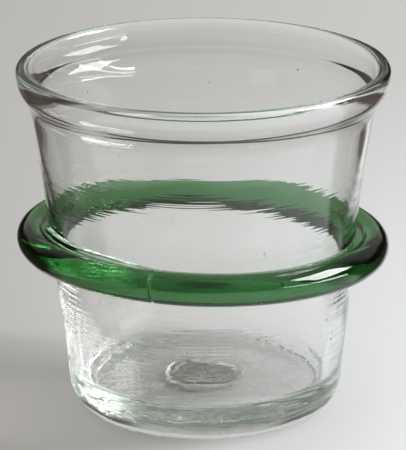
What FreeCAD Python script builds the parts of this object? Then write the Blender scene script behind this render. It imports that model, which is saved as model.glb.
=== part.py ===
"""Free-blown glass tumbler with an applied ring, in millimetres.

The vessel stands on z = 0 with its axis on Z, and the origin is the centre of its base.
Three gathers of glass make it: the clear bowl, the coloured trail laid round the bowl at
half height, and the scar that the pontil iron left under the base. They are fused on the
real object, so they meet face to face here.
"""
import FreeCAD, Part
import math
import os
import Sketcher
from FreeCAD import Vector

doc = FreeCAD.newDocument("GlassTumbler")

# Driving sizes: lengths in millimetres, angles in degrees
SIZES = (
    ("height", 92.3, "table to the top of the rim"),
    ("rim_radius", 48.35, "widest reach of the rim"),
    ("lip_radius", 1.8, "roundness of the fire-polished lip"),
    ("roll_radius", 10.0, "outside of the flare, where it rounds over into the lip"),
    ("wall", 2.2, "wall of the upper half, measured level"),
    ("heel_wall", 3.6, "wall just above the floor, measured level"),
    ("flare_height", 13.0, "from the top of the rim down to where the wall turns out"),
    ("flare_out", 4.2, "how far the rim reaches out past that turn"),
    ("flare_bend", 12.0, "outside radius of that turn"),
    ("shoulder_rise", 7.0, "from the middle of the ring up to the end of the straight lower wall"),
    ("wall_bow", 0.45, "how far the wall bows in there, from a straight line up to the flare"),
    ("wall_taper", 13.05, "how far inside the rim the round heel meets the wall"),
    ("heel_height", 8.5, "height of that place"),
    ("heel_tuck", 6.9, "how far the heel rounds in, down to the foot"),
    ("foot_width", 2.2, "width of the narrow ring that touches the table"),
    ("kick_rise", 1.1, "hollow under the base, at its flat top"),
    ("base_thickness", 11.0, "glass between the kick and the middle of the floor"),
    ("crown_rise", 1.6, "middle of the crowned floor above its edge"),
    ("floor_fillet", 2.2, "inside radius between floor and wall"),
    ("ring_height", 45.2, "middle of the ring, on the axis"),
    ("ring_short", 0.05, "the ring reaches out as far as the rim, less this much"),
    ("trail_radius", 4.1, "half the thickness of the trail"),
    ("root_nip", 0.8, "how much the trail narrows at its root, above and below"),
    ("root_sink", 2.0, "cut allowance: how far the trail's blank starts inside the wall"),
    ("ring_tilt", 1.5, "lean of the hand-laid ring, high on the side of -X"),
    ("crease_azimuth", 253.7, "where the two ends of the trail meet, from +X towards +Y"),
    ("crease_depth", 0.7, "depth of the crease between the ends"),
    ("crease_half", 0.6, "half its width at the surface"),
    ("crease_sweep", 250.0, "how far it runs round the trail, up to the root"),
    ("tail_radius", 1.3, "half the thickness of the trail's tail"),
    ("tail_rise", 2.8, "middle of the tail above the middle of the ring"),
    ("tail_proud", 0.3, "middle of the tail outside the wall"),
    ("tail_azimuth", 217.0, "middle of the tail's length"),
    ("tail_sweep", 78.0, "angle that the tail takes up"),
    ("scar_radius", 10.0, "reach of the pontil scar"),
    ("scar_edge", 0.3, "thickness of the scar at its edge"),
    ("scar_ridge", 7.2, "radius of the broken ridge of the scar"),
    ("scar_ridge_depth", 0.8, "how far the ridge hangs below the top of the kick"),
    ("scar_middle", 0.5, "thickness of the scar at its middle"),
    ("scar_margin", 1.0, "how far the flat top of the kick reaches past the scar"),
)

# Sizes that follow from those above, in the order in which they are worked out
DERIVED = (
    ("heel_radius", "<rim_radius> - <wall_taper>", "outside, where the heel meets the wall"),
    ("neck_radius", "<rim_radius> - <flare_out>", "outside, where the wall turns out"),
    ("neck_height", "<height> - <flare_height>", "height of that turn"),
    ("shoulder_height", "<ring_height> + <shoulder_rise>", "end of the straight lower wall"),
    ("chord_slope", "(<neck_radius> - <heel_radius>) / (<neck_height> - <heel_height>)",
     "lean of a straight line from heel to neck, as a ratio"),
    ("shoulder_radius",
     "<heel_radius> + (<shoulder_height> - <heel_height>) * <chord_slope> - <wall_bow>",
     "outside, at that end"),
    ("wall_slope", "(<shoulder_radius> - <heel_radius>) / (<shoulder_height> - <heel_height>)",
     "lean of the lower wall, as a ratio"),
    ("inner_neck_radius", "<neck_radius> - <wall>", "inside, where the wall turns out"),
    ("inner_heel_radius", "<heel_radius> - <heel_wall>", "inside, above the floor"),
    ("lip_centre_radius", "<rim_radius> - <lip_radius>", "middle of the lip's roundness"),
    ("lip_centre_height", "<height> - <lip_radius>", "height of that middle"),
    ("foot_radius", "<heel_radius> - <heel_tuck>", "outside of the foot"),
    ("foot_inner", "<foot_radius> - <foot_width>", "inside of the foot"),
    ("kick_flat", "<scar_radius> + <scar_margin>", "flat top of the kick"),
    ("floor_centre", "<kick_rise> + <base_thickness>", "top of the crowned floor"),
    ("fillet_height", "<floor_centre> - <crown_rise> + <floor_fillet>", "middle of the fillet"),
    ("rod_radius", "<rim_radius> - <ring_short> - <trail_radius>", "middle of the trail"),
    ("root_half", "<trail_radius> - <root_nip>", "half the trail's height at the wall"),
    ("blank_radius", "<heel_radius> - <root_sink>", "inside of the trail's blank"),
    ("tail_centre",
     "<shoulder_radius> - (<shoulder_rise> - <tail_rise>) * <wall_slope> + <tail_proud>",
     "middle of the tail, from the axis"),
)


def bind(text):
    """Turn an expression in size names into one that reads the sheet."""
    return text.replace("<", "Sizes.").replace(">", "")


sheet = doc.addObject("Spreadsheet::Sheet", "Sizes")
for row, (name, value, note) in enumerate(SIZES + DERIVED, start=1):
    formula = "=" + value.replace("<", "").replace(">", "") if isinstance(value, str) else value
    sheet.set("A%d" % row, name)
    sheet.set("B%d" % row, str(formula))
    sheet.setAlias("B%d" % row, name)
    sheet.set("C%d" % row, note)
doc.recompute()
size = {name: float(sheet.get(name)) for name, value, note in SIZES + DERIVED}


def new_body(label):
    """Make one sub-part: a body whose label is its file name."""
    body = doc.addObject("PartDesign::Body", label)
    body.Label = label
    return body


def point(x, y):
    """A point of a section: x is the radius, y is the height."""
    return Vector(x, y, 0)


class Section:
    """A sketch on one of its body's own planes, solved once all its rules are known."""

    def __init__(self, body, name, role):
        plane = next(item for item in body.Origin.OriginFeatures if item.Role == role)
        self.sketch = body.newObject("Sketcher::SketchObject", name)
        self.sketch.AttachmentSupport = [(plane, "")]
        self.sketch.MapMode = "FlatFace"
        self.rules = []
        self.sizes = []

    def move(self, turn_axis, **paths):
        """Move the sketch on its plane, with each part of the move bound to the sheet."""
        turn = FreeCAD.Rotation(turn_axis, 1)
        self.sketch.AttachmentOffset = FreeCAD.Placement(Vector(0, 0, 0), turn)
        for path, text in paths.items():
            path = ".AttachmentOffset." + path.replace("_", ".")
            self.sketch.setExpression(path, bind(text))

    def line(self, start, end):
        return self.sketch.addGeometry(Part.LineSegment(start, end), False)

    def arc(self, centre, start, end):
        """Add the arc that runs against the clock from start to end."""
        radius = start.distanceToPoint(centre)
        first = math.atan2(start.y - centre.y, start.x - centre.x)
        last = math.atan2(end.y - centre.y, end.x - centre.x)
        circle = Part.Circle(centre, Vector(0, 0, 1), radius)
        return self.sketch.addGeometry(Part.ArcOfCircle(circle, first, last), False)

    def circle(self, centre, radius):
        return self.sketch.addGeometry(Part.Circle(centre, Vector(0, 0, 1), radius), False)

    def rule(self, kind, *places):
        """Join, line up or level the named ends, lines and arcs."""
        for place in places:
            self.rules.append(Sketcher.Constraint(kind, *place))

    def size(self, kind, places, name, text):
        """Give a size that the sheet drives. Until then it has the value that is drawn."""
        if kind == "Radius":
            drawn = self.sketch.Geometry[places[0]].Radius
        else:
            gap = self.sketch.getPoint(*places[2:]) - self.sketch.getPoint(*places[:2])
            drawn = gap.x if kind == "DistanceX" else gap.y
        self.sizes.append((len(self.rules), name, bind(text)))
        self.rules.append(Sketcher.Constraint(kind, *places, drawn))

    def hold(self, geometry, end, name, across, up):
        """Hold one end or centre at its radius and height."""
        if across:
            self.size("DistanceX", (-1, 1, geometry, end), name + "_radius", across)
        if up:
            self.size("DistanceY", (-1, 1, geometry, end), name + "_height", up)

    def solved(self):
        """Add all the rules in one go, then tie the sizes to the sheet."""
        self.sketch.addConstraint(self.rules)
        for index, name, text in self.sizes:
            self.sketch.renameConstraint(index, name)
            self.sketch.setExpression("Constraints." + name, text)
        return self.sketch


def revolve(body, kind, name, sketch, angle="360"):
    """Turn a sketch about its own vertical axis, to add or to take away glass."""
    feature = body.newObject("PartDesign::" + kind, name)
    feature.Profile = sketch
    feature.ReferenceAxis = (sketch, ["V_Axis"])
    feature.Midplane = True
    feature.setExpression("Angle", bind(angle))
    body.Tip = feature
    return feature


def circle_touching(start, normal, through):
    """Centre of the circle that leaves start square to normal and passes another point."""
    chord = through - start
    radius = chord.dot(chord) / (2 * normal.dot(chord))
    return start + normal * radius


def circle_between(first, first_reach, second, second_reach):
    """The point nearer the axis of the two that lie so far from the two given points."""
    gap = second - first
    along = (first_reach ** 2 - second_reach ** 2 + gap.Length ** 2) / (2 * gap.Length)
    aside = math.sqrt(first_reach ** 2 - along ** 2)
    gap.normalize()
    return first + gap * along + point(-gap.y, gap.x) * aside


def flare_lean(bend_centre, lip_centre, reach):
    """Angle from upright of the straight flare between the inner bend and the lip."""
    gap = lip_centre - bend_centre
    return math.atan2(gap.y, -gap.x) - math.acos(reach / gap.Length)


# Places on the section of the bowl
foot_out = point(size["foot_radius"], 0)
foot_in = point(size["foot_inner"], 0)
heel = point(size["heel_radius"], size["heel_height"])
shoulder = point(size["shoulder_radius"], size["shoulder_height"])
neck = point(size["neck_radius"], size["neck_height"])
lip = point(size["lip_centre_radius"], size["lip_centre_height"])
lip_top = point(size["lip_centre_radius"], size["height"])
kick_edge = point(size["kick_flat"], size["kick_rise"])
kick_top = point(0, size["kick_rise"])
inner_neck = point(size["inner_neck_radius"], size["neck_height"])
inner_low = point(size["inner_heel_radius"], size["fillet_height"])
floor_top = point(0, size["floor_centre"])


def outward(lean):
    """The level direction away from the axis, square to a wall that leans out."""
    return point(math.cos(lean), -math.sin(lean))


def lean_between(low, high):
    return math.atan2(high.x - low.x, high.y - low.y)


def make_clear_bowl():
    """Blown vessel: one section through wall, flare, floor and kick, turned about the axis."""
    body = new_body("clear_bowl")
    section = Section(body, "bowl_section", "XZ_Plane")

    lower = lean_between(heel, shoulder)
    heel_centre = circle_touching(heel, outward(lower) * -1, foot_out)
    upper_centre = circle_touching(shoulder, outward(lower), neck)
    upper = math.atan2(neck.y - upper_centre.y, upper_centre.x - neck.x)
    bend_centre = neck + outward(upper) * size["flare_bend"]
    roll_centre = circle_between(bend_centre, size["flare_bend"] + size["roll_radius"],
                                 lip, size["roll_radius"] - size["lip_radius"])
    toward_roll = (roll_centre - bend_centre).normalize()
    toward_lip = (lip - roll_centre).normalize()
    flare_low = bend_centre + toward_roll * size["flare_bend"]
    flare_high = roll_centre + toward_lip * size["roll_radius"]

    inner = lean_between(inner_low, inner_neck)
    inner_bend = size["flare_bend"] + size["wall"]
    inner_bend_centre = inner_neck + outward(inner) * inner_bend
    inner_flare = flare_lean(inner_bend_centre, lip, inner_bend - size["lip_radius"])
    inner_flare_low = inner_bend_centre - outward(inner_flare) * inner_bend
    inner_flare_high = lip - outward(inner_flare) * size["lip_radius"]

    fillet_end = inner_low - point(0, size["floor_fillet"] * math.sin(inner))
    fillet_centre = fillet_end - outward(inner) * size["floor_fillet"]
    drop = fillet_centre.y - floor_top.y
    crown = (fillet_centre.x ** 2 + drop ** 2 - size["floor_fillet"] ** 2)
    crown /= 2 * (size["floor_fillet"] - drop)
    crown_centre = floor_top - point(0, crown)
    toward_fillet = (fillet_centre - crown_centre).normalize()
    floor_edge = crown_centre + toward_fillet * crown

    kick = section.line(kick_edge, foot_in)
    foot = section.line(foot_in, foot_out)
    heel_arc = section.arc(heel_centre, foot_out, heel)
    lower_wall = section.line(heel, shoulder)
    upper_wall = section.arc(upper_centre, neck, shoulder)
    bend = section.arc(bend_centre, flare_low, neck)
    roll = section.arc(roll_centre, flare_low, flare_high)
    lip_outside = section.arc(lip, flare_high, lip_top)
    lip_inside = section.arc(lip, lip_top, inner_flare_high)
    inner_flare_wall = section.line(inner_flare_high, inner_flare_low)
    inner_bend_arc = section.arc(inner_bend_centre, inner_flare_low, inner_neck)
    inner_wall = section.line(inner_neck, fillet_end)
    fillet = section.arc(fillet_centre, floor_edge, fillet_end)
    floor_arc = section.arc(crown_centre, floor_edge, floor_top)
    axis = section.line(floor_top, kick_top)
    kick_roof = section.line(kick_top, kick_edge)

    section.rule("Coincident", (kick, 2, foot, 1), (foot, 2, heel_arc, 1))
    section.rule("Coincident", (floor_arc, 2, axis, 1), (axis, 2, kick_roof, 1))
    section.rule("Coincident", (kick_roof, 2, kick, 1))
    section.rule("Horizontal", (kick_roof,))
    section.rule("Tangent", (heel_arc, 2, lower_wall, 1), (lower_wall, 2, upper_wall, 2))
    section.rule("Tangent", (upper_wall, 1, bend, 2), (bend, 1, roll, 1))
    section.rule("Tangent", (roll, 2, lip_outside, 1), (lip_inside, 2, inner_flare_wall, 1))
    section.rule("Coincident", (lip_outside, 2, lip_inside, 1), (lip_outside, 3, lip_inside, 3))
    section.rule("Vertical", (lip_outside, 2, lip_outside, 3))
    section.rule("Tangent", (inner_flare_wall, 2, inner_bend_arc, 1))
    section.rule("Tangent", (inner_bend_arc, 2, inner_wall, 1), (inner_wall, 2, fillet, 2))
    section.rule("Tangent", (fillet, 1, floor_arc, 1))
    section.rule("PointOnObject", (axis, 1, -2), (axis, 2, -2))
    section.rule("PointOnObject", (floor_arc, 3, -2), (foot, 1, -1), (foot, 2, -1))

    section.hold(kick, 1, "kick", "<kick_flat>", "<kick_rise>")
    section.hold(foot, 1, "foot_inner", "<foot_inner>", "")
    section.hold(foot, 2, "foot", "<foot_radius>", "")
    section.hold(lower_wall, 1, "heel", "<heel_radius>", "<heel_height>")
    section.hold(lower_wall, 2, "shoulder", "<shoulder_radius>", "<shoulder_height>")
    section.hold(upper_wall, 1, "neck", "<neck_radius>", "<neck_height>")
    section.hold(lip_outside, 3, "lip", "<lip_centre_radius>", "<lip_centre_height>")
    section.hold(inner_wall, 1, "inner_neck", "<inner_neck_radius>", "<neck_height>")
    section.hold(inner_wall, 2, "inner_heel", "<inner_heel_radius>", "")
    section.hold(fillet, 3, "fillet", "", "<fillet_height>")
    section.hold(floor_arc, 2, "floor", "", "<floor_centre>")
    section.size("Radius", (bend,), "bend_size", "<flare_bend>")
    section.size("Radius", (inner_bend_arc,), "inner_bend_size", "<flare_bend> + <wall>")
    section.size("Radius", (lip_outside,), "lip_size", "<lip_radius>")
    section.size("Radius", (roll,), "roll_size", "<roll_radius>")
    section.size("Radius", (fillet,), "fillet_size", "<floor_fillet>")
    revolve(body, "Revolution", "bowl_turned", section.solved())
    return body


def make_green_ring():
    """Trail of coloured glass: a round rod laid about the wall, its ends butted in a crease."""
    body = new_body("green_ring")
    middle = size["rod_radius"]

    # The whole ring leans: its own z = 0 is the middle of the trail
    body.Placement = FreeCAD.Placement(Vector(0, 0, 0), FreeCAD.Rotation(Vector(0, 1, 0), 1))
    body.setExpression(".Placement.Base.z", bind("<ring_height>"))
    body.setExpression(".Placement.Rotation.Angle", bind("<ring_tilt> * 1 deg"))

    section = Section(body, "trail_section", "XZ_Plane")
    neck_back = math.sqrt(size["trail_radius"] ** 2 - size["root_half"] ** 2)
    top = point(middle - neck_back, size["root_half"])
    bottom = point(middle - neck_back, -size["root_half"])
    back_top = point(size["blank_radius"], size["root_half"])
    back_bottom = point(size["blank_radius"], -size["root_half"])
    rod = section.arc(point(middle, 0), bottom, top)
    upper = section.line(top, back_top)
    back = section.line(back_top, back_bottom)
    under = section.line(back_bottom, bottom)
    section.rule("Coincident", (rod, 2, upper, 1), (upper, 2, back, 1))
    section.rule("Coincident", (back, 2, under, 1), (under, 2, rod, 1))
    section.rule("Horizontal", (upper,), (under,))
    section.rule("Vertical", (back,))
    section.rule("PointOnObject", (rod, 3, -1))
    section.hold(rod, 3, "rod", "<rod_radius>", "")
    section.hold(upper, 2, "back", "<blank_radius>", "<root_half>")
    section.size("DistanceY", (back, 2, back, 1), "root", "2 * <root_half>")
    section.size("Radius", (rod,), "rod_size", "<trail_radius>")
    revolve(body, "Revolution", "trail_laid", section.solved())
    whole = volume_of(body)

    # The crease is a V turned about the rod's own line, where the two ends meet
    crease = Section(body, "crease_section", "XY_Plane")
    crease.move(Vector(0, 0, 1), Rotation_Angle="<crease_azimuth> * 1 deg",
                Base_x="<rod_radius> * cos(<crease_azimuth>)",
                Base_y="<rod_radius> * sin(<crease_azimuth>)")
    cut_in = point(size["trail_radius"] - size["crease_depth"], 0)
    cut_right = point(size["trail_radius"] + size["crease_depth"], -2 * size["crease_half"])
    cut_left = point(size["trail_radius"] + size["crease_depth"], 2 * size["crease_half"])
    side_one = crease.line(cut_in, cut_right)
    mouth = crease.line(cut_right, cut_left)
    side_two = crease.line(cut_left, cut_in)
    crease.rule("Coincident", (side_one, 2, mouth, 1), (mouth, 2, side_two, 1))
    crease.rule("Coincident", (side_two, 2, side_one, 1))
    crease.rule("PointOnObject", (side_one, 1, -1))
    crease.rule("Vertical", (mouth,))
    crease.hold(side_one, 1, "crease", "<trail_radius> - <crease_depth>", "")
    crease.hold(mouth, 2, "mouth", "<trail_radius> + <crease_depth>", "2 * <crease_half>")
    crease.size("DistanceY", (mouth, 1, mouth, 2), "mouth_width", "4 * <crease_half>")
    revolve(body, "Groove", "crease_cut", crease.solved(), "<crease_sweep>")
    check_less(body, whole, "crease_cut")

    # The tail is a thin round strip that fills the corner between the rod and the wall
    tail = Section(body, "tail_section", "XZ_Plane")
    tail.move(Vector(0, 1, 0), Rotation_Angle="<tail_azimuth> * 1 deg")
    strip = tail.circle(point(size["tail_centre"], size["tail_rise"]), size["tail_radius"])
    tail.hold(strip, 3, "strip", "<tail_centre>", "<tail_rise>")
    tail.size("Radius", (strip,), "strip_size", "<tail_radius>")
    revolve(body, "Revolution", "tail_laid", tail.solved(), "<tail_sweep>")

    # The seat takes away what lies inside the bowl's straight lower wall, and it stands upright
    seat = Section(body, "seat_section", "XZ_Plane")
    seat.move(Vector(0, 0, 1), Rotation_Angle="<ring_tilt> * 1 deg",
              Base_x="<ring_height> * sin(<ring_tilt>)",
              Base_y="-<ring_height> * cos(<ring_tilt>)")
    seat_low = point(0, size["heel_height"])
    seat_high = point(0, size["shoulder_height"])
    floor_line = seat.line(seat_low, heel)
    wall_line = seat.line(heel, shoulder)
    top_line = seat.line(shoulder, seat_high)
    axis = seat.line(seat_high, seat_low)
    seat.rule("Coincident", (floor_line, 2, wall_line, 1), (wall_line, 2, top_line, 1))
    seat.rule("Coincident", (top_line, 2, axis, 1), (axis, 2, floor_line, 1))
    seat.rule("PointOnObject", (floor_line, 1, -2), (axis, 1, -2))
    seat.rule("Horizontal", (floor_line,), (top_line,))
    seat.hold(wall_line, 1, "heel", "<heel_radius>", "<heel_height>")
    seat.hold(wall_line, 2, "shoulder", "<shoulder_radius>", "<shoulder_height>")
    whole = volume_of(body)
    revolve(body, "Groove", "seat_cut", seat.solved())
    check_less(body, whole, "seat_cut")
    return body


def make_pontil_scar():
    """Left-over of the pontil's glass: a broken disc that clings to the flat top of the kick."""
    body = new_body("pontil_scar")
    section = Section(body, "scar_section", "XZ_Plane")
    edge_top = point(size["scar_radius"], size["kick_rise"])
    edge_low = edge_top - point(0, size["scar_edge"])
    ridge = point(size["scar_ridge"], size["kick_rise"] - size["scar_ridge_depth"])
    middle = point(0, size["kick_rise"] - size["scar_middle"])
    seat = section.line(kick_top, edge_top)
    edge = section.line(edge_top, edge_low)
    flank = section.line(edge_low, ridge)
    hollow = section.line(ridge, middle)
    axis = section.line(middle, kick_top)
    section.rule("Coincident", (seat, 2, edge, 1), (edge, 2, flank, 1), (flank, 2, hollow, 1))
    section.rule("Coincident", (hollow, 2, axis, 1), (axis, 2, seat, 1))
    section.rule("Horizontal", (seat,))
    section.rule("Vertical", (edge,))
    section.rule("PointOnObject", (axis, 1, -2), (axis, 2, -2))
    section.hold(seat, 2, "edge", "<scar_radius>", "<kick_rise>")
    section.hold(flank, 2, "ridge", "<scar_ridge>", "<kick_rise> - <scar_ridge_depth>")
    section.hold(hollow, 2, "middle", "", "<kick_rise> - <scar_middle>")
    section.size("DistanceY", (edge, 2, edge, 1), "edge_depth", "<scar_edge>")
    revolve(body, "Revolution", "scar_turned", section.solved())
    return body


def volume_of(body):
    doc.recompute()
    return body.Shape.Volume


def check_less(body, before, name):
    """A cut that points away from the glass would change nothing."""
    if volume_of(body) >= before:
        raise ValueError(name + " took nothing away")


parts = [make_clear_bowl(), make_green_ring(), make_pontil_scar()]
doc.recompute()

# Every object is sound before anything is written
for item in doc.Objects:
    if "Invalid" in item.State or "Error" in item.State:
        raise ValueError(item.Name + " did not compute")
for body in parts:
    if body.Shape.isNull() or not body.Shape.isValid() or len(body.Shape.Solids) != 1:
        raise ValueError(body.Label + " is not one sound solid")

os.makedirs("parts", exist_ok=True)
for body in parts:
    body.Shape.exportStep("parts/%s.step" % body.Label)
    box = body.Shape.optimalBoundingBox(False)
    print("%-12s %9.1f mm3  x %.2f to %.2f  z %.2f to %.2f"
          % (body.Label, body.Shape.Volume, box.XMin, box.XMax, box.ZMin, box.ZMax))
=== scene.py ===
import math
import random

import bmesh
import bpy
import numpy as np
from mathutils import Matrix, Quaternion, Vector, noise


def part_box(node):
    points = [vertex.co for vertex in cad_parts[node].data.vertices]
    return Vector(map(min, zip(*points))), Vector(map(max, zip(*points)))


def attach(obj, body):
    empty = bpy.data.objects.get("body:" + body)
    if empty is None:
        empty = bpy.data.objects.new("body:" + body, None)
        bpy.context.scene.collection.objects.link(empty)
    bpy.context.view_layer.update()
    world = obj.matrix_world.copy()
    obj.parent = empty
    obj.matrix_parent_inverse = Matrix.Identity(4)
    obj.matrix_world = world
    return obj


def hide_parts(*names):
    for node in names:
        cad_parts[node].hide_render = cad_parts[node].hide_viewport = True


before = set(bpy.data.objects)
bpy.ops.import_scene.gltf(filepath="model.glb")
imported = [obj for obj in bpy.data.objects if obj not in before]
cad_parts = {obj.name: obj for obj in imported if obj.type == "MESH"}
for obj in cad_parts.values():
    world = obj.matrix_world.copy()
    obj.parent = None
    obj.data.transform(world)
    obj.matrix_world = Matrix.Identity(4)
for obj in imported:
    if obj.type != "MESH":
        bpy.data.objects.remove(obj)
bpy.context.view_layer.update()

# The clear bowl
# Free-blown soda-lime glass in one gather: a thick base with a kick under it, a wall that
# widens upwards, and a rim that was opened out with the jacks and melted round in the fire.

MM = 0.001                                 # lengths are in mm, down to the section on the stage
bowl_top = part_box("clear_bowl")[1]
RIM = bowl_top.x / MM                      # widest reach of the rim
HEIGHT = bowl_top.z / MM                   # table to the top of the rim
LIP = 1.8                                  # roundness of the fire-polished lip
KICK = 1.1                                 # hollow under the base
FLOOR = 12.1                               # top of the crowned floor
SCAR = 10.0                                # reach of the pontil scar under the base
SEAT_LOW, SEAT_HIGH = 41.9, 48.5           # where a level ring would grip the wall
WARP_LOW, WARP_HIGH = 30.0, 52.0           # between these the mesh bends to the leaning ring
HEEL_AT = (34.56, 2.05)                    # corner that the heel rounds off: radius, height
WAIST_AT = (41.87, 65.8)                   # corner where the straight wall ends


def lower_wall(height):
    """Outside radius of the straight wall between the heel and the waist."""
    share = (height - HEEL_AT[1]) / (WAIST_AT[1] - HEEL_AT[1])
    return HEEL_AT[0] + (WAIST_AT[0] - HEEL_AT[0]) * share


# Corners of the section: radius, height, and how round the corner is
BOWL_SECTION = (
    (0, KICK, 0),                          # middle of the kick
    (SCAR, KICK, 0),                       # edge of the scar
    (11.0, KICK, 6.0),                     # the kick turns down to the foot
    (26.2, 0, 0.5),                        # inner edge of the foot
    (28.4, 0, 0.8),                        # outer edge of the foot
    (*HEEL_AT, 10.2),                      # the rolled heel
    (lower_wall(WARP_LOW), WARP_LOW, 0),
    (lower_wall(SEAT_LOW), SEAT_LOW, 0),   # the ring's seat begins
    (lower_wall(SEAT_HIGH), SEAT_HIGH, 0),
    (lower_wall(WARP_HIGH), WARP_HIGH, 0),
    (*WAIST_AT, 500.0),                    # from here the wall leans out a little less
    (RIM - 3.72, HEIGHT - 10.15, 12.0),    # neck under the flare
    (RIM, HEIGHT - 5.15, 9.8),             # the flare turns up into the rim
    (RIM, HEIGHT, LIP),                    # outside of the lip
    (RIM - 3.2, HEIGHT, LIP),              # inside of the lip
    (RIM - 6.3, HEIGHT - 12.4, 30.0),      # inside of the neck
    (31.33, 10.3, 2.2),                    # the inner wall meets the floor
    (14.68, FLOOR, 271.0),                 # crown of the floor
    (0, FLOOR, 0),                         # middle of the floor
)


def round_section(corners, turn=math.radians(9), longest=1.3):
    """Points along a section whose corners are arcs, with no run longer than asked."""
    places = [np.array(corner[:2], float) for corner in corners]
    points = [places[0]]
    for before, here, after, corner in zip(places, places[1:], places[2:], corners[1:]):
        back = (before - here) / np.linalg.norm(before - here)
        ahead = (after - here) / np.linalg.norm(after - here)
        bend = math.pi - math.acos(np.clip(back @ ahead, -1, 1))
        if corner[2] == 0 or bend < 1e-6:
            points.append(here)
            continue
        reach = corner[2] * math.tan(bend / 2)
        middle = back + ahead
        centre = here + middle / np.linalg.norm(middle) * corner[2] / math.cos(bend / 2)
        start, end = here + back * reach - centre, here + ahead * reach - centre
        steps = max(2, math.ceil(bend / turn), math.ceil(bend * corner[2] / longest))
        for step in range(steps + 1):
            near, far = math.sin((1 - step / steps) * bend), math.sin(step / steps * bend)
            points.append(centre + (start * near + end * far) / math.sin(bend))
    points.append(places[-1])
    fine = [points[0]]
    for here in points[1:]:
        first = fine[-1]
        gap = np.linalg.norm(here - first)
        steps = math.ceil(gap / longest) if gap > 1e-4 else 0
        fine += [first + (here - first) * step / steps for step in range(1, steps + 1)]
    return fine


def ease(low, high, value):
    """Rise smoothly from 0 at low to 1 at high."""
    share = min(max((value - low) / (high - low), 0), 1)
    return share * share * (3 - 2 * share)


def wander(angle, cells, seed):
    """Smooth noise round the bowl that comes back to itself. cells is how many to a radian."""
    return noise.noise(Vector((math.cos(angle) * cells, math.sin(angle) * cells, seed)))


# The ring's lines are needed first, because the bowl's mesh has its seat as a loop of edges
RING_HEIGHT = 45.2                         # middle of the ring
RING_TILT = math.radians(1.5)              # it was laid on slightly aslant
RING_SWAY = 0.18                           # and wanders up and down by this much
SEAM_AT = math.radians(253.7)              # where the two ends of the trail meet
TAIL_FROM, TAIL_TO = math.radians(182), math.radians(259)      # the tail lies between these
TAIL_FADES_IN, TAIL_FADES_OUT = math.radians(14), math.radians(30)
TAIL_RISE = 1.5                            # the tail stands this far above the trail's root
ROOT = (SEAT_HIGH - SEAT_LOW) / 2          # half the height of the seat


def tail(angle):
    """How much of the tail is there at an angle: it fades in, and runs out past the seam."""
    fade_in = ease(TAIL_FROM, TAIL_FROM + TAIL_FADES_IN, angle)
    return fade_in * (1 - ease(TAIL_TO - TAIL_FADES_OUT, TAIL_TO, angle))


def ring_middle(angle):
    """Height of the middle of the leaning ring."""
    lean = math.tan(RING_TILT) * RIM * math.cos(angle)
    return RING_HEIGHT - lean + RING_SWAY * wander(angle, 1.1, 4.2)


def seat_edges(angle):
    """Lowest and highest line of the ring's grip on the wall."""
    middle = ring_middle(angle)
    return middle - ROOT, middle + ROOT + TAIL_RISE * tail(angle)


def angles_round(count=300, near=math.radians(5), fine=math.radians(0.25)):
    """Angles all the way round, closer together at the seam of the ring."""
    even = [2 * math.pi * step / count for step in range(count)]
    steps = round(near / fine)
    close = [SEAM_AT + fine * step for step in range(-steps, steps + 1)]
    return sorted([angle for angle in even if abs(angle - SEAM_AT) > near + fine] + close)


ANGLES = angles_round()

OUTSIDE, INSIDE = 11.0, 37.0               # the two surfaces swell in different places
SWELL, SMALL_SWELL = 0.16, 0.05            # how uneven the hand left them
SWELL_ROUND, SWELL_TALL = 1.3, 26.0        # noise cells to a radian round, and height of one
CALM = 12.0                                # nearer to the axis than this the swells die away
HEEL_WAVE = 0.13                           # waves that rolling on the marver left in the heel
HEEL_ROUND, HEEL_TALL = 9.0, 3.2           # the same two for these waves
HEEL_FROM, HEEL_FULL = 27.0, 29.5          # they set in between these radii
HEEL_FADES, HEEL_ENDS = 6.0, 11.0          # and fade between these heights
LEAN_HEIGHTS = (0, 22, 45, 68, 92)         # at these heights, the middle of the bowl
LEAN = (0.5, 0.6, 0.0, -0.15, 0.15)        # lies this far to the right of the axis


def on_glass(radius, height, angle, seed):
    """A place on the bowl, in metres, with the slight unevenness that hand work leaves."""
    ahead, aside = math.cos(angle), math.sin(angle)
    around = Vector((ahead * SWELL_ROUND, aside * SWELL_ROUND, height / SWELL_TALL + seed))
    swell = SWELL * noise.noise(around) + SMALL_SWELL * noise.noise(around * 3.1)
    if seed == OUTSIDE and height < HEEL_ENDS:
        fade = ease(HEEL_FROM, HEEL_FULL, radius) * (1 - ease(HEEL_FADES, HEEL_ENDS, height))
        swell += HEEL_WAVE * wander(angle, HEEL_ROUND, height / HEEL_TALL) * fade
    radius += swell * ease(0, CALM, radius)
    lean = np.interp(height, LEAN_HEIGHTS, LEAN)
    return Vector((radius * ahead + lean, radius * aside, height)) * MM


def skin(name, rows, loop, fused):
    """Closed mesh over rows of points that go round, where a row of one point is a pole.

    fused lists the runs of rows, as first and last, whose faces have melted to another piece.
    """
    mesh = bmesh.new()
    melted = mesh.faces.layers.float.new("fused")
    rings = [[mesh.verts.new(point) for point in row] for row in rows]
    follows = rings[1:] + rings[:1] if loop else rings[1:]
    for index, (first, second) in enumerate(zip(rings, follows)):
        count = max(len(first), len(second))
        share = float(any(low <= index < high for low, high in fused))
        for step in range(count):
            after = (step + 1) % count
            corners = [first[step % len(first)], second[step % len(second)],
                       second[after % len(second)], first[after % len(first)]]
            face = mesh.faces.new(list(dict.fromkeys(corners)))
            face.smooth = True
            face[melted] = share
    bmesh.ops.recalc_face_normals(mesh, faces=mesh.faces)
    data = bpy.data.meshes.new(name)
    mesh.to_mesh(data)
    mesh.free()
    piece = bpy.data.objects.new(name, data)
    bpy.context.scene.collection.objects.link(piece)
    return piece


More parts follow.
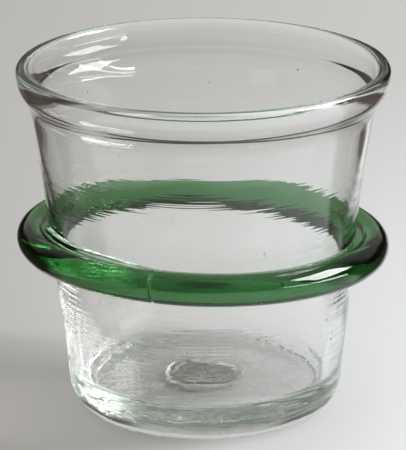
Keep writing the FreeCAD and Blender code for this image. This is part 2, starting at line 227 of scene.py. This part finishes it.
section = round_section(BOWL_SECTION)
lip_row = max(range(len(section)), key=lambda row: section[row][1])
HAIR = 1e-3                                # rows this near to a line are on it
seat_rows = [row for row in range(lip_row)
             if SEAT_LOW - HAIR < section[row][1] < SEAT_HIGH + HAIR]
scar_rows = [row for row in range(lip_row)
             if section[row][0] < SCAR + HAIR and section[row][1] > KICK - HAIR]

rows = []
for row, (radius, height) in enumerate(section):
    points = []
    for angle in ANGLES:
        if row < lip_row and WARP_LOW < height < WARP_HIGH:
            low, high = seat_edges(angle)
            warped = np.interp(height, (WARP_LOW, SEAT_LOW, SEAT_HIGH, WARP_HIGH),
                               (WARP_LOW, low, high, WARP_HIGH))
            points.append(on_glass(lower_wall(warped), warped, angle, OUTSIDE))
        else:
            points.append(on_glass(radius, height, angle, OUTSIDE if row < lip_row else INSIDE))
    rows.append(points[:1] if radius == 0 else points)
bowl = skin("blown_bowl", rows, False, [(seat_rows[0], seat_rows[-1]),
                                        (scar_rows[0], scar_rows[-1])])


def colour(hex_code):
    """Linear red, green, blue and alpha of an sRGB hex value."""
    parts = [int(hex_code[place:place + 2], 16) / 255 for place in (1, 3, 5)]
    return tuple(part / 12.92 if part <= 0.04045 else ((part + 0.055) / 1.055) ** 2.4
                 for part in parts) + (1.0,)


def add(tree, kind, values, **settings):
    """Add a node. values gives each input a plain value, or the node or output that feeds it."""
    node = tree.nodes.new(kind)
    for name, value in settings.items():
        setattr(node, name, value)
    for socket, value in values.items():
        if isinstance(value, bpy.types.Node):
            value = next(output for output in value.outputs if output.enabled)
        if isinstance(value, bpy.types.NodeSocket):
            tree.links.new(value, node.inputs[socket])
        else:
            node.inputs[socket].default_value = value
    return node


def new_material(name):
    """An empty material and its node tree."""
    material = bpy.data.materials.new(name)
    material.use_nodes = True
    material.node_tree.nodes.clear()
    return material, material.node_tree


WHITE = colour("#FFFFFF")
GLASS_IOR = 1.5
POLISH_OVER, POLISHED = 9.0, 0.06          # over this height the fire shrank the bumps to this
STREAK_LONG, STREAK_WIDE = 8.33, 1.11      # the streaks that the table rubbed into the foot
RUB_LEAST, RUB_MOST = 0.36, 0.6            # noise values at which a streak begins and is full
WORN_LOW, WORN_HIGH = 0.9, 2.4             # the rubbing fades out between these heights


def glass(name, sizes, detail, tall, body, density, lamp_light, roughness=0.0, worn=0.0,
          smooth_from=90):
    """Glass with a colour in its depth, that lets lamps through and has no surface where fused.

    sizes gives the size of its bumps along each axis, and tall their height. Above smooth_from
    the fire has melted them away. worn is how rough the table has rubbed its lowest part.
    """
    material, tree = new_material(name)
    coordinates = add(tree, "ShaderNodeTexCoord", {}).outputs["Object"]
    up = add(tree, "ShaderNodeSeparateXYZ", {0: coordinates}).outputs["Z"]
    stretched = add(tree, "ShaderNodeMapping",
                    {"Vector": coordinates, "Scale": [1 / (2 * size * MM) for size in sizes]})
    bumpy = add(tree, "ShaderNodeTexNoise",
                {"Vector": stretched, "Scale": 1.0, "Detail": detail, "Roughness": 0.5})
    unpolished = add(tree, "ShaderNodeMapRange",
                     {"Value": up, "From Min": smooth_from * MM,
                      "From Max": (smooth_from + POLISH_OVER) * MM,
                      "To Min": 1.0, "To Max": POLISHED})
    relief = add(tree, "ShaderNodeBump",
                 {"Height": bumpy, "Strength": unpolished, "Distance": tall * MM})
    if worn:
        per_streak = (1 / (STREAK_LONG * MM), 1 / (STREAK_WIDE * MM), 1 / (STREAK_WIDE * MM))
        streaks = add(tree, "ShaderNodeMapping", {"Vector": coordinates, "Scale": per_streak})
        rubbed = add(tree, "ShaderNodeTexNoise", {"Vector": streaks, "Scale": 1.0, "Detail": 2.0})
        patchy = add(tree, "ShaderNodeMapRange",
                     {"Value": rubbed, "From Min": RUB_LEAST, "From Max": RUB_MOST})
        low = add(tree, "ShaderNodeMapRange",
                  {"Value": up, "From Min": WORN_LOW * MM, "From Max": WORN_HIGH * MM,
                   "To Min": worn, "To Max": 0.0})
        roughness = add(tree, "ShaderNodeMath", {0: patchy, 1: low}, operation="MULTIPLY")
    shiny = add(tree, "ShaderNodeBsdfGlass",
                {"Color": WHITE, "Roughness": roughness, "IOR": GLASS_IOR, "Normal": relief})
    straight = add(tree, "ShaderNodeBsdfRefraction",
                   {"Color": WHITE, "Roughness": 0.0, "IOR": 1.0})
    melted = add(tree, "ShaderNodeAttribute", {}, attribute_name="fused").outputs["Fac"]
    joined = add(tree, "ShaderNodeMixShader", {0: melted, 1: shiny, 2: straight})
    lamp_ray = add(tree, "ShaderNodeLightPath", {}).outputs["Is Shadow Ray"]
    let_through = add(tree, "ShaderNodeBsdfTransparent", {"Color": lamp_light})
    surface = add(tree, "ShaderNodeMixShader", {0: lamp_ray, 1: joined, 2: let_through})
    depth = add(tree, "ShaderNodeVolumeAbsorption", {"Color": body, "Density": density})
    add(tree, "ShaderNodeOutputMaterial", {"Surface": surface, "Volume": depth})
    return material


# Blown soda-lime glass: clear, bright and slick from the fire, with a faint grey-green depth.
# Fine level rings from the tools run round it and tear the edges of what is seen through the
# wall. The table has rubbed the foot dull. Its scratches are too fine to show, so they are
# drawn as streaks a millimetre wide.
CLEAR_DEPTH = colour("#ECF5F0")
CLEAR_DENSITY = 7.0                        # per metre of glass
blown_glass = glass("soda_lime_glass_blown", sizes=(30, 30, 0.7), detail=2.0, tall=0.05,
                    body=CLEAR_DEPTH, density=CLEAR_DENSITY, lamp_light=colour("#FAF9F9"),
                    worn=0.4, smooth_from=66)
bowl.data.materials.append(blown_glass)
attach(bowl, "root")
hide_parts("clear_bowl")

# The green ring
# A trail of copper-green glass, laid hot round the wall while the bowl turned on the iron. Its
# ends butt in a crease, and its thin tail runs along the top of its own start.

ROD_AT = RIM - 4.15                        # middle of the trail, from the axis
ROD = 4.1                                  # half the thickness of the trail
ROD_SWELL = 0.12                           # by which its thickness varies
ROD_STEPS = 40                             # points round the rod
SEAT_STEPS = 7                             # points up the seat
JOINT = 0.03                               # the two fused faces stand this far apart
CREASE_DEPTH, CREASE_HALF = 0.8, 0.6       # depth and half width of the crease at the seam
GROOVE = 0.12                              # the groove under the tail, in from the rod's neck
UNDERSIDE = 0.6                            # the root's underside starts this far from its ends
# Outer face of the tail: distance from the wall, and from its top edge. Its points crowd near
# the corners, so that the flat between them shades as flat and doesn't act as a lens.
TAIL_FACE = ((0.65, 0.03), (1.05, 0.12), (1.25, 0.28), (1.3, 0.4), (1.34, 1.1), (1.38, 1.22))


def ring_section(angle):
    """Points round the trail's section, as radius and height, from the top of its seat."""
    low, high = seat_edges(angle)
    middle = ring_middle(angle)
    here = tail(angle)
    off_seam = abs(angle - SEAM_AT) * ROD_AT
    notch = CREASE_DEPTH * max(0, 1 - off_seam / CREASE_HALF) ** 1.5
    half = ROD + ROD_SWELL * wander(angle, 2, 8.8) - notch
    neck = math.pi - math.asin(ROOT / ROD)
    neck_at = ROD_AT + ROD * math.cos(neck)
    points = [(lower_wall(high) + JOINT, high)]
    for out, down in TAIL_FACE:
        height = high - down * here
        points.append((lower_wall(height) + out, height))
    points.append((neck_at - GROOVE, middle + ROOT + 0.1 * here))
    for step in range(ROD_STEPS + 1):
        turn = neck - 2 * neck * step / ROD_STEPS
        points.append((ROD_AT + half * math.cos(turn), middle + half * math.sin(turn)))
    points.append((neck_at - UNDERSIDE, low + 0.02))
    points.append((lower_wall(low) + UNDERSIDE, low))
    for step in range(SEAT_STEPS):
        height = low + (high - low) * step / SEAT_STEPS
        points.append((lower_wall(height) + JOINT, height))
    return points


sections = [ring_section(angle) for angle in ANGLES]
ROWS = len(sections[0])
LOW_SEAT = ROWS - SEAT_STEPS               # the row at the low edge of the seat
rows = [[on_glass(*one[place], angle, OUTSIDE) for one, angle in zip(sections, ANGLES)]
        for place in range(ROWS)]
ring = skin("green_trail", rows, True, [(LOW_SEAT, ROWS)])
edges = {tuple(sorted(edge.vertices)): edge for edge in ring.data.edges}
for row in (0, LOW_SEAT):
    for step in range(len(ANGLES)):
        first = row * len(ANGLES) + step
        second = row * len(ANGLES) + (step + 1) % len(ANGLES)
        edges[tuple(sorted((first, second)))].use_edge_sharp = True

# Copper-green glass: deep where the light goes a long way through it, pale where it is thin.
# Its level ripples are coarser than the bowl's.
green_glass = glass("copper_green_glass", sizes=(22, 22, 1.0), detail=1.5, tall=0.11,
                    body=colour("#27BC4B"), density=310.0, lamp_light=colour("#EAE2E6"))
ring.data.materials.append(green_glass)
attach(ring, "root")
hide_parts("green_ring")

# The pontil scar
# What is left of the clear glass that held the bowl on the iron: a rough broken disc under
# the kick, seen through the base as a mottled patch with bright chips.

SCAR_TURNS, SCAR_ROWS = 72, 22             # points round the disc, and out to its edge
SHELL_SPAN = 6.5                           # distance between the shells of the break
SHELL, SHELL_EDGE, SHELL_EDGE_HALF = 0.42, 0.16, 0.09      # how deep they and their edges are
RIDGE, RIDGE_AT, RIDGE_HALF = 0.22, 0.86, 0.07     # rim of the break: depth, place and width
RAGGED, RAGGED_CELLS = 1.2, 0.9            # how far the shells' edges stray, and cells to a mm
CHIP, CHIP_CELLS = 0.06, 1.6               # the small chips all over it
SCAR_LEAST, SCAR_MOST = 0.1, 0.72          # the broken face stays between these depths
SCAR_SKIN = 0.08                           # glass that is left all over the disc


def scar_depth(radius, angle):
    """How far the broken face hangs below the top of the kick."""
    share = radius / SCAR
    place = Vector((math.cos(angle) * radius, math.sin(angle) * radius, 0))
    ragged = noise.noise(place * RAGGED_CELLS) * RAGGED
    near, second = noise.voronoi((place + Vector((ragged, ragged, 2.6))) / SHELL_SPAN)[0][:2]
    edge = math.exp(-((second - near) / SHELL_EDGE_HALF) ** 2)
    shell = SHELL * (1 - near ** 2) + SHELL_EDGE * edge
    ridge = RIDGE * math.exp(-((share - RIDGE_AT) / RIDGE_HALF) ** 2)
    chips = CHIP * noise.noise(place * CHIP_CELLS)
    deep = min(SCAR_MOST, max(SCAR_LEAST, SCAR_SKIN + shell + ridge + chips))
    return deep * (1 - ease(0.93, 1.0, share)) + SCAR_SKIN


rows = []
for row in range(SCAR_ROWS + 1):
    radius = SCAR * row / SCAR_ROWS
    points = []
    for step in range(SCAR_TURNS):
        angle = 2 * math.pi * step / SCAR_TURNS
        points.append(on_glass(radius, KICK - scar_depth(radius, angle), angle, OUTSIDE))
    rows.append(points[:1] if row == 0 else points)
for row in range(SCAR_ROWS, -1, -1):
    radius = SCAR * row / SCAR_ROWS
    points = [on_glass(radius, KICK - JOINT, 2 * math.pi * step / SCAR_TURNS, OUTSIDE)
              for step in range(SCAR_TURNS)]
    rows.append(points[:1] if row == 0 else points)
scar = skin("pontil_mark", rows, False, [(SCAR_ROWS + 1, 2 * SCAR_ROWS + 1)])

# Broken glass: the same clear glass, torn off, so it glints at every angle
broken_glass = glass("soda_lime_glass_broken", sizes=(1.5, 1.5, 1.5), detail=3.0, tall=0.12,
                     body=CLEAR_DEPTH, density=CLEAR_DENSITY, lamp_light=colour("#C9C4BF"),
                     roughness=0.1)
scar.data.materials.append(broken_glass)
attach(scar, "root")
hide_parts("pontil_scar")

# The seeds
# Small bubbles of air that were caught in the gather. They lie in the middle of the wall and
# of the base, round or a little drawn out, and each shows as a tiny dark dot.

SEED_COUNT = 46
SEED_SIZE = 0.28                           # half the thickness of a common seed
SEED_LEAST, SEED_MOST = (0.6, 0.6, 0.6), (1.5, 1.1, 1.3)   # how the others stretch it
IN_BASE = 0.3                              # share of the seeds that lie in the base
BASE_REACH, BASE_LOW, BASE_HIGH = 27, 3.5, 8.5     # radius and heights of their place there
WALL_LOW, WALL_HIGH = 14, 84               # heights of the others, in the wall
OUTER_WALL = (2, 65.8, 80), (34.5, 41.9, 43.9)     # heights on its outside, and their radii
INNER_WALL = (12, 79.9), (31.6, 41.9)      # and on its inside
random.seed(29)


def in_the_glass():
    """A place in the middle of the wall, or of the base."""
    angle = random.uniform(0, 2 * math.pi)
    if random.random() < IN_BASE:
        radius = BASE_REACH * math.sqrt(random.random())
        return on_glass(radius, random.uniform(BASE_LOW, BASE_HIGH), angle, OUTSIDE)
    height = random.uniform(WALL_LOW, WALL_HIGH)
    outer = float(np.interp(height, *OUTER_WALL))
    inner = float(np.interp(height, *INNER_WALL))
    return on_glass((outer + inner) / 2, height, angle, OUTSIDE)


seed_points = bpy.data.meshes.new("seed_points")
seed_points.from_pydata([in_the_glass() for _ in range(SEED_COUNT)], [], [])
seeds = bpy.data.objects.new("seeds", seed_points)
bpy.context.scene.collection.objects.link(seeds)

# Air inside glass: no colour of its own. Seen from the glass round it, it bends light the
# other way, so it shows as a dark ring with a bright middle.
seed_air, tree = new_material("air_in_soda_lime_glass")
bubble = add(tree, "ShaderNodeBsdfGlass",
             {"Color": WHITE, "Roughness": 0.0, "IOR": 1 / GLASS_IOR})
lamp_ray = add(tree, "ShaderNodeLightPath", {}).outputs["Is Shadow Ray"]
let_through = add(tree, "ShaderNodeBsdfTransparent", {"Color": colour("#F5F3F1")})
surface = add(tree, "ShaderNodeMixShader", {0: lamp_ray, 1: bubble, 2: let_through})
add(tree, "ShaderNodeOutputMaterial", {"Surface": surface})

bubbles = bpy.data.node_groups.new("seeds_in_glass", "GeometryNodeTree")
bubbles.interface.new_socket("Geometry", in_out="INPUT", socket_type="NodeSocketGeometry")
size_input = bubbles.interface.new_socket("Half thickness", in_out="INPUT",
                                          socket_type="NodeSocketFloat")
bubbles.interface.new_socket("Geometry", in_out="OUTPUT", socket_type="NodeSocketGeometry")
given = add(bubbles, "NodeGroupInput", {})
ball = add(bubbles, "GeometryNodeMeshIcoSphere", {"Radius": 1.0, "Subdivisions": 2})
size_each = add(bubbles, "FunctionNodeRandomValue",
                {"Min": SEED_LEAST, "Max": SEED_MOST, "Seed": 7}, data_type="FLOAT_VECTOR")
scaled = add(bubbles, "ShaderNodeVectorMath",
             {0: size_each, "Scale": given.outputs["Half thickness"]}, operation="SCALE")
placed = add(bubbles, "GeometryNodeInstanceOnPoints",
             {"Points": given.outputs["Geometry"], "Instance": ball, "Scale": scaled})
real = add(bubbles, "GeometryNodeRealizeInstances", {"Geometry": placed})
airy = add(bubbles, "GeometryNodeSetMaterial", {"Geometry": real, "Material": seed_air})
add(bubbles, "NodeGroupOutput", {"Geometry": airy})
grow = seeds.modifiers.new("grow", "NODES")
grow.node_group = bubbles
grow[size_input.identifier] = SEED_SIZE * MM
grown = seeds.evaluated_get(bpy.context.evaluated_depsgraph_get())
seeds_mesh = bpy.data.meshes.new_from_object(grown)
seeds.modifiers.remove(grow)
seeds.data = seeds_mesh
for face in seeds_mesh.polygons:
    face.use_smooth = True
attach(seeds, "root")

# The stage
# A pale sheet of paper on a dark table, a window on the right, a dim room and the camera. It
# is not part of the object. Lengths are in metres from here on.

PAPER_HALF = 3.0
PAPER_DROP = 0.0002                        # the foot stands clear of the sheet by a hair
paper_mesh = bpy.data.meshes.new("paper")
paper_mesh.from_pydata([(-PAPER_HALF, -PAPER_HALF, 0), (PAPER_HALF, -PAPER_HALF, 0),
                        (PAPER_HALF, PAPER_HALF, 0), (-PAPER_HALF, PAPER_HALF, 0)],
                       [], [(0, 1, 2, 3)])
paper = bpy.data.objects.new("paper", paper_mesh)
paper.location.z = -PAPER_DROP
bpy.context.scene.collection.objects.link(paper)

# Matt paper: no gloss at all, so it shows the light that falls on it and the shadow, and its
# colour adds painted shade: it is darker to the left of the object, away from the window and
# under the bowl's shadow, and on the right it darkens towards the back. Far to the right it greys
# off.
SHARE, FIRST, SECOND = 0, 6, 7             # sockets of a Mix node that mixes two colours
paper_stock, tree = new_material("matt_paper")
coordinates = add(tree, "ShaderNodeTexCoord", {}).outputs["Object"]
place = add(tree, "ShaderNodeSeparateXYZ", {0: coordinates})
right_of, behind_of = place.outputs["X"], place.outputs["Y"]
across = add(tree, "ShaderNodeMapRange", {"Value": right_of, "From Min": -0.07, "From Max": 0.07})
away = add(tree, "ShaderNodeMapRange", {"Value": behind_of, "From Min": -0.06, "From Max": 0.33})
# Painted shade: darker colours on the left, and towards the back on the right
left = add(tree, "ShaderNodeMix",
           {SHARE: away, FIRST: colour("#C0BDBA"), SECOND: colour("#C4C4C1")}, data_type="RGBA")
right = add(tree, "ShaderNodeMix",
            {SHARE: away, FIRST: colour("#F7FBFD"), SECOND: colour("#CCCDCC")}, data_type="RGBA")
sheet = add(tree, "ShaderNodeMix", {SHARE: across, FIRST: left, SECOND: right}, data_type="RGBA")
camera_ray = add(tree, "ShaderNodeLightPath", {}).outputs["Is Camera Ray"]
not_camera = add(tree, "ShaderNodeMath", {0: 1.0, 1: camera_ray}, operation="SUBTRACT")

# The dark table is seen only in the glass, which bends the view past the edges of the sheet.
# It lies to the left and right behind the object, and the sheet between spreads with distance.
beside = []
for side, spread, spread_by, dark_by in ((-1, 0.18, 0.8, 0.072), (1, 0.175, 0.5, 0.085)):
    inwards = add(tree, "ShaderNodeMapRange",
                  {"Value": behind_of, "From Max": spread_by, "To Max": -spread})
    outwards = add(tree, "ShaderNodeMath", {0: right_of, 1: side, 2: inwards},
                   operation="MULTIPLY_ADD")
    beside.append(add(tree, "ShaderNodeMapRange",
                      {"Value": outwards, "From Min": 0.06, "From Max": dark_by},
                      interpolation_type="SMOOTHSTEP"))
off_sheet = add(tree, "ShaderNodeMath", {0: beside[0], 1: beside[1]}, operation="MAXIMUM")
sideways = add(tree, "ShaderNodeMath", {0: right_of}, operation="ABSOLUTE")
aslant = add(tree, "ShaderNodeMath", {0: sideways, 1: -0.1, 2: behind_of},
             operation="MULTIPLY_ADD")
back_half = add(tree, "ShaderNodeMapRange",
                {"Value": aslant, "From Min": -0.008, "From Max": 0.012},
                interpolation_type="SMOOTHSTEP")
table = add(tree, "ShaderNodeMath", {0: off_sheet, 1: back_half}, operation="MULTIPLY")
table = add(tree, "ShaderNodeMath", {0: table, 1: not_camera}, operation="MULTIPLY")

# In the glass the far end of the sheet is painted white: painted light, as if lit to white
far_end = add(tree, "ShaderNodeMapRange",
              {"Value": behind_of, "From Min": 0.7, "From Max": 1.8},
              interpolation_type="SMOOTHSTEP")
far_end = add(tree, "ShaderNodeMath", {0: far_end, 1: not_camera}, operation="MULTIPLY")
by_window = add(tree, "ShaderNodeMapRange",
                {"Value": right_of, "From Min": 0.12, "From Max": 1.0},
                interpolation_type="SMOOTHSTEP")
for share, tint in ((far_end, "#FFFFFF"), (by_window, "#A2A2A0"), (table, "#4C443E")):
    sheet = add(tree, "ShaderNodeMix", {SHARE: share, FIRST: sheet, SECOND: colour(tint)},
                data_type="RGBA")

# Painted light: the sheet glows white in a patch under the bowl's left side, a painted caustic
# where the bowl would gather the window's light. It is seen in the glass only, broken into
# dapples, and not where the base stands on it.
DAPPLE = 3.125 * MM
CAUSTIC_GLOW_AT = (-0.05, 0.024, 0)
dapple = add(tree, "ShaderNodeTexNoise",
             {"Vector": coordinates, "Scale": 1 / (2 * DAPPLE), "Detail": 1.0})
from_patch = add(tree, "ShaderNodeVectorMath", {0: coordinates, 1: CAUSTIC_GLOW_AT},
                 operation="DISTANCE")
from_axis = add(tree, "ShaderNodeVectorMath", {0: coordinates}, operation="LENGTH")
caustic_glow = not_camera
for value, none_at, all_at in ((dapple, 0.36, 0.5), (from_patch, 0.034, 0.017),
                               (from_axis, 0.031, 0.038)):
    share = add(tree, "ShaderNodeMapRange",
                {"Value": value, "From Min": none_at, "From Max": all_at},
                interpolation_type="SMOOTHSTEP")
    caustic_glow = add(tree, "ShaderNodeMath", {0: caustic_glow, 1: share}, operation="MULTIPLY")
matt = add(tree, "ShaderNodeBsdfDiffuse", {"Color": sheet})
painted_glow = add(tree, "ShaderNodeEmission", {"Color": WHITE, "Strength": 1.0})
lit_sheet = add(tree, "ShaderNodeMixShader", {0: caustic_glow, 1: matt, 2: painted_glow})
add(tree, "ShaderNodeOutputMaterial", {"Surface": lit_sheet})
paper_mesh.materials.append(paper_stock)


def lamp(name, azimuth, elevation, roll, wide, tall, radiance, away=2.0):
    """Flat lamp that faces the object. Angles are in degrees."""
    data = bpy.data.lights.new(name, "AREA")
    data.shape = "RECTANGLE"
    data.size = wide
    data.size_y = tall
    data.energy = math.pi * wide * tall * radiance
    thing = bpy.data.objects.new(name, data)
    azimuth, elevation = math.radians(azimuth), math.radians(elevation)
    thing.location = Vector((math.cos(elevation) * math.cos(azimuth),
                             math.cos(elevation) * math.sin(azimuth),
                             math.sin(elevation))) * away
    thing.rotation_mode = "QUATERNION"
    turn = Quaternion((0, 0, 1), math.radians(roll))
    thing.rotation_quaternion = thing.location.to_track_quat("Z", "Y") @ turn
    bpy.context.scene.collection.objects.link(thing)
    thing.visible_camera = False


lamp("window", azimuth=4, elevation=38, roll=0, wide=1.1, tall=0.85, radiance=17.0)
lamp("window_sill", azimuth=-16, elevation=7.6, roll=-8.5, wide=1.7, tall=0.15, radiance=16.2)


def climb(degrees):
    """Z of a unit vector that points this far above the horizon."""
    return math.sin(math.radians(degrees))


# The room: dark at the sides low down, and paler towards the ceiling. Behind the object is a
# low pale strip that ends in the dark at both sides, with the dark below it and a wall above.
world = bpy.data.worlds.new("room")
world.use_nodes = True
tree = world.node_tree
tree.nodes.clear()
way = add(tree, "ShaderNodeTexCoord", {}).outputs["Generated"]
parts = add(tree, "ShaderNodeSeparateXYZ", {0: way})
sideways = add(tree, "ShaderNodeMath", {0: parts.outputs["X"]}, operation="ABSOLUTE")
behind, climbing, fading, to_side, ceiling = [
    add(tree, "ShaderNodeMapRange", {"Value": value, "From Min": low, "From Max": high},
        interpolation_type="SMOOTHSTEP")
    for value, low, high in ((parts.outputs["Y"], 0.35, 0.7),
                             (parts.outputs["Z"], climb(7), climb(11)),
                             (parts.outputs["Z"], climb(13), climb(18)),
                             (sideways, 0.27, 0.54),
                             (parts.outputs["Z"], climb(31), climb(50)))]
strip = add(tree, "ShaderNodeMix",
            {SHARE: to_side, FIRST: colour("#B2B1AD"), SECOND: colour("#2F2B27")},
            data_type="RGBA")
above = add(tree, "ShaderNodeMix", {SHARE: fading, FIRST: strip, SECOND: colour("#97948D")},
            data_type="RGBA")
wall = add(tree, "ShaderNodeMix", {SHARE: climbing, FIRST: colour("#2A2723"), SECOND: above},
           data_type="RGBA")
side = add(tree, "ShaderNodeMix",
           {SHARE: ceiling, FIRST: colour("#26231F"), SECOND: colour("#918E89")},
           data_type="RGBA")
walls = add(tree, "ShaderNodeMix", {SHARE: behind, FIRST: side, SECOND: wall}, data_type="RGBA")
light = add(tree, "ShaderNodeBackground", {"Color": walls, "Strength": 1.0})
add(tree, "ShaderNodeOutputWorld", {"Surface": light})
bpy.context.scene.world = world

# The camera stands where the photograph was taken from, as the rim's ellipse and the outline
# of the bowl give it
CAMERA_AWAY = 1.4                          # from the place on the axis that it looks at
CAMERA_AIM = 0.049                         # height of that place
CAMERA_PITCH = math.radians(16.9)          # how far it looks down
PICTURE_HIGH, FOCAL_PIXELS = 450, 5398     # height and focal length of the picture, in pixels
SENSOR = 36.0                              # mm along the longer side of the picture
camera_data = bpy.data.cameras.new("camera")
camera_data.sensor_width = SENSOR
camera_data.lens = FOCAL_PIXELS * SENSOR / PICTURE_HIGH
camera_data.clip_start = 0.1
camera_data.clip_end = 50
camera = bpy.data.objects.new("camera", camera_data)
camera.location = (0, -CAMERA_AWAY * math.cos(CAMERA_PITCH),
                   CAMERA_AIM + CAMERA_AWAY * math.sin(CAMERA_PITCH))
camera.rotation_euler = (math.pi / 2 - CAMERA_PITCH, 0, 0)
bpy.context.scene.collection.objects.link(camera)
bpy.context.scene.camera = camera

bpy.context.scene.view_settings.view_transform = "Standard"
# The lamps shine through the glass as light shadows, so no second way through it is counted
bpy.context.scene.cycles.caustics_refractive = False
bpy.context.scene.cycles.caustics_reflective = False
# Light runs along inside the walls for dozens of reflections before it gets out
bpy.context.scene.cycles.max_bounces = 64
bpy.context.scene.cycles.glossy_bounces = 64
bpy.context.scene.cycles.transmission_bounces = 64
bpy.context.scene.cycles.transparent_max_bounces = 64
